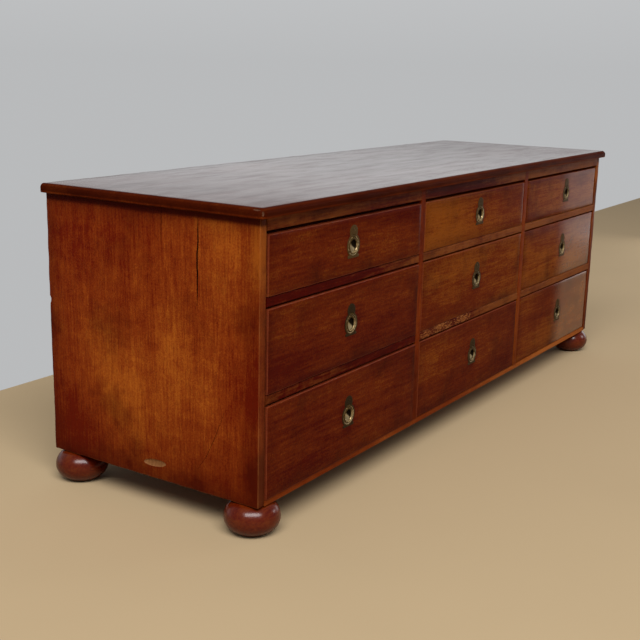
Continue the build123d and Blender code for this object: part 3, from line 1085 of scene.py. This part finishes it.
def make_ring():
    """The ring of a pull, with the neck and barrel that it hangs by."""
    piece = add_primitive(
        "pull_ring_form",
        "torus",
        major_radius=RING_RADIUS,
        minor_radius=WIRE_RADIUS,
        major_segments=96,
        minor_segments=24,
        rotation=(math.pi / 2, 0, 0),
        location=(0, HINGE_Y, 0),
    )
    flare = [(1.9 * MM, 0), (1.3 * MM, 1.6 * MM), (1.1 * MM, 2.4 * MM)]
    neck = turn("neck", [(0, 0), *flare, (0, 2.4 * MM)], steps=24)
    neck.data.transform(Matrix.Diagonal((1, 0.6, 1, 1)))
    neck.data.transform(Matrix.Translation((0, HINGE_Y, RING_RADIUS)))
    barrel = add_bar("barrel", KNUCKLE_RADIUS, -BARREL_HALF, BARREL_HALF, HINGE_Y, HINGE_HEIGHT)
    joined(piece, neck, barrel)
    melt(piece, RING_VOXEL, 4)

    def rubbed(place):
        return max(0, 0.5 + (place.x - place.z) / (2.4 * RING_RADIUS)) if place.y < HINGE_Y else 0

    mark(piece, "wear", rubbed)
    return piece


def make_fixings(turned):
    """The screw with its slot turned by an angle, the two nails and the hinge pin of a pull."""
    head = [(0, 0.5 * MM), (1.1 * MM, 0.47 * MM), (1.75 * MM, PLATE_PROUD)]
    shank = [(SCREW_SHANK, -0.7 * MM), (SCREW_SHANK, -6.4 * MM), (0, -7.4 * MM)]
    screw = turn("pull_fixings_form", head + shank, steps=40)
    slot = add_block("slot_cutter", (-3 * MM, -0.2 * MM, 0.15 * MM), (3 * MM, 0.2 * MM, 2 * MM))
    slot.data.transform(Matrix.Rotation(turned, 4, "Z"))
    cut(screw, slot)
    screw.data.transform(Matrix.Translation((0, 0, SCREW_HEIGHT)) @ Matrix.Rotation(math.pi / 2, 4, "X"))
    head = [(0, 0.68 * MM), (0.5 * MM, 0.62 * MM), (0.88 * MM, 0.42 * MM)]
    shank = [(NAIL_SHANK, 0.4 * MM), (NAIL_SHANK, -6 * MM), (0, -6.5 * MM)]
    places = [(side * (TAIL_WIDTH / 2 - NAIL_INSET), 0, -TAIL_DROP) for side in (-1, 1)]
    nails = [turn("nail", head + shank, place, "Y", 24) for place in places]
    half = SLOT_HALF + KNUCKLE_LENGTH
    pin = add_bar("pin", PIN_RADIUS, -half, half, HINGE_Y, HINGE_HEIGHT)
    piece = joined(screw, *nails, pin)
    mark(piece, "wear", lambda place: 0.3)
    return piece


class CABINET_OT_pulls(bpy.types.Operator):
    """Make the nine brass pulls: plate, ring and fixings"""

    bl_idname = "cabinet.pulls"
    bl_label = "Pulls"

    def execute(self, context):
        draw = random.Random(7)
        plate = make_plate()
        ring = make_ring()
        dress(plate, finish("plate"))
        dress(ring, finish("ring"))
        for form in (plate, ring):
            smooth(form, 50)
        for drawer in DRAWERS:
            centre = pull_centre(drawer)
            body = drawer + "_drawer"
            *_, outer, inner = DRAWERS[drawer]
            own_plate = copy_at(plate, drawer + "_plate_cast", centre)
            mark(own_plate, "grime", lambda place: tarnish_and_shade(place - centre, outer, inner))
            show(own_plate, body, "plate_brass", drawer + "_pull_plate")
            own_ring = copy_at(ring, drawer + "_ring_cast", centre)
            mark(own_ring, "grime", lambda place: inner)
            show(own_ring, drawer + "_ring", "ring_brass", drawer + "_pull_ring")
            fixings = make_fixings(draw.uniform(0, math.pi))
            fixings.name = drawer + "_fixings_turned"
            fixings.data.transform(Matrix.Translation(centre))
            mark(fixings, "grime", lambda place: outer)
            dress(fixings, finish("plate"))
            smooth(fixings, 35)
            show(fixings, body, "plate_brass", drawer + "_pull_fixings")
        for form in (plate, ring):
            bpy.data.objects.remove(form)
        return {"FINISHED"}


def bun_profile(height, radius):
    """Radius and height of a bun foot, from its base to its top."""
    points = [(0, 0), (BUN_BASE, 0)]
    bulge = height * BUN_BULGE
    for i in range(1, 25):
        angle = -math.pi / 2 + math.pi * i / 24
        flat = BUN_LOWER if angle < 0 else BUN_UPPER
        reach = bulge if angle < 0 else height - bulge
        points.append((flat + (radius - flat) * math.cos(angle), bulge + reach * math.sin(angle)))
    points.append((0, height))
    return points


class CABINET_OT_feet(bpy.types.Operator):
    """Turn the four bun feet"""

    bl_idname = "cabinet.feet"
    bl_label = "Bun Feet"

    def execute(self, context):
        board_low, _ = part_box("bottom_board")
        for number, node in enumerate(FEET):
            low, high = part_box(node)
            centre = (low + high) / 2
            profile = bun_profile(board_low.z, (high.x - low.x) / 2 - SKIN.x)
            piece = turn(node + "_bun", profile, (centre.x, centre.y, 0))
            mark(piece, "board", lambda place: 20 + number)
            dress(piece, finish("foot"))
            smooth(piece, 50)
            show(piece, "case", "foot_wood", node)
        return {"FINISHED"}


class CABINET_OT_stage(bpy.types.Operator):
    """Set the floor, the lights and the camera"""

    bl_idname = "cabinet.stage"
    bl_label = "Stage"

    def light_room(self, context):
        """A dim room with a pale wall behind the cabinet."""
        context.scene.world = bpy.data.worlds.new("studio")
        s = Shader(context.scene.world)
        view = s.node("TexCoord")
        stops = [(level, (bright * 0.97, bright * 0.985, bright)) for level, bright in WALL_STOPS]
        wall = s.ramp(s.parts(view)[2], *stops)
        toward = s.node("VectorMath", {"operation": "DOT_PRODUCT"}, {0: view, 1: WALL_DIRECTION}, "Value")
        light = s.node("Background", None, {0: s.mix(ROOM_COLOUR, wall, s.rise(toward, *WALL_SPREAD))})
        s.node("OutputWorld", None, {0: light})

    def execute(self, context):
        floor = add_primitive("floor", "plane", size=1)
        floor.data.transform(Matrix.Diagonal((8, 3.4, 1, 1)))
        floor.data.transform(Matrix.Translation((0, -1.3, 0)))
        s = Shader(bpy.data.materials.new("floor_paint"))
        place = s.node("TexCoord", output=3)
        shade = s.noise(place, scale=3) * 0.06 + 0.47
        paint = s.mix((0, 0, 0), context.scene.cabinet_colours.floor, shade * 2)
        dress(floor, s.finish({"Base Color": paint, "Roughness": 0.85, "Specular IOR Level": 0.2}))

        for name, place, length, height, power in LAMPS:
            bpy.ops.object.light_add(type="AREA", location=place)
            lamp = context.object
            lamp.name = name
            lamp.rotation_euler = (LAMPS_FACE - Vector(place)).to_track_quat("-Z", "Y").to_euler()
            lamp.data.shape = "RECTANGLE"
            lamp.data.size = length
            lamp.data.size_y = height
            lamp.data.energy = power

        self.light_room(context)

        level = Vector((math.cos(CAMERA_YAW), -math.sin(CAMERA_YAW), 0))
        forward = Vector((math.sin(CAMERA_YAW), math.cos(CAMERA_YAW), 0))
        ahead = forward * math.cos(CAMERA_PITCH) - Vector((0, 0, math.sin(CAMERA_PITCH)))
        down = ahead.cross(level)
        right = level * math.cos(CAMERA_ROLL) + down * math.sin(CAMERA_ROLL)
        up = level * math.sin(CAMERA_ROLL) - down * math.cos(CAMERA_ROLL)
        bpy.ops.object.camera_add()
        camera = context.object
        camera.name = "camera"
        camera.data.lens = CAMERA_LENS
        camera.data.sensor_width = 36
        camera.data.sensor_fit = "HORIZONTAL"
        camera.data.clip_start = 0.01
        turn_to = Matrix((right, up, -ahead)).transposed().to_4x4()
        camera.matrix_world = Matrix.Translation(CAMERA_PLACE) @ turn_to
        context.scene.camera = camera
        context.scene.view_settings.view_transform = "Standard"
        return {"FINISHED"}


OPERATORS = (
    CABINET_OT_stage,
    CABINET_OT_top_board,
    CABINET_OT_side_panels,
    CABINET_OT_case_boards,
    CABINET_OT_drawer_fronts,
    CABINET_OT_drawer_boxes,
    CABINET_OT_pulls,
    CABINET_OT_feet,
)


class CABINET_PT_panel(bpy.types.Panel):
    """Lists the cabinet's operators and settings"""

    bl_label = "Drawer Cabinet"
    bl_idname = "CABINET_PT_panel"
    bl_space_type = "VIEW_3D"
    bl_region_type = "UI"
    bl_category = "Cabinet"

    def draw(self, context):
        for settings in (context.scene.cabinet_sizes, context.scene.cabinet_colours):
            for name in settings.__annotations__:
                self.layout.prop(settings, name)
        for operator in OPERATORS:
            self.layout.operator(operator.bl_idname)


CLASSES = (CabinetSizes, CabinetColours, *OPERATORS, CABINET_PT_panel)


def register():
    for item in CLASSES:
        bpy.utils.register_class(item)
    bpy.types.Scene.cabinet_sizes = bpy.props.PointerProperty(type=CabinetSizes)
    bpy.types.Scene.cabinet_colours = bpy.props.PointerProperty(type=CabinetColours)


def unregister():
    del bpy.types.Scene.cabinet_colours
    del bpy.types.Scene.cabinet_sizes
    for item in reversed(CLASSES):
        bpy.utils.unregister_class(item)


def main():
    """Registers the add-on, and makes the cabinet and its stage."""
    register()
    for operator in OPERATORS:
        group, name = operator.bl_idname.split(".")
        getattr(getattr(bpy.ops, group), name)()


if __name__ == "__main__":
    main()
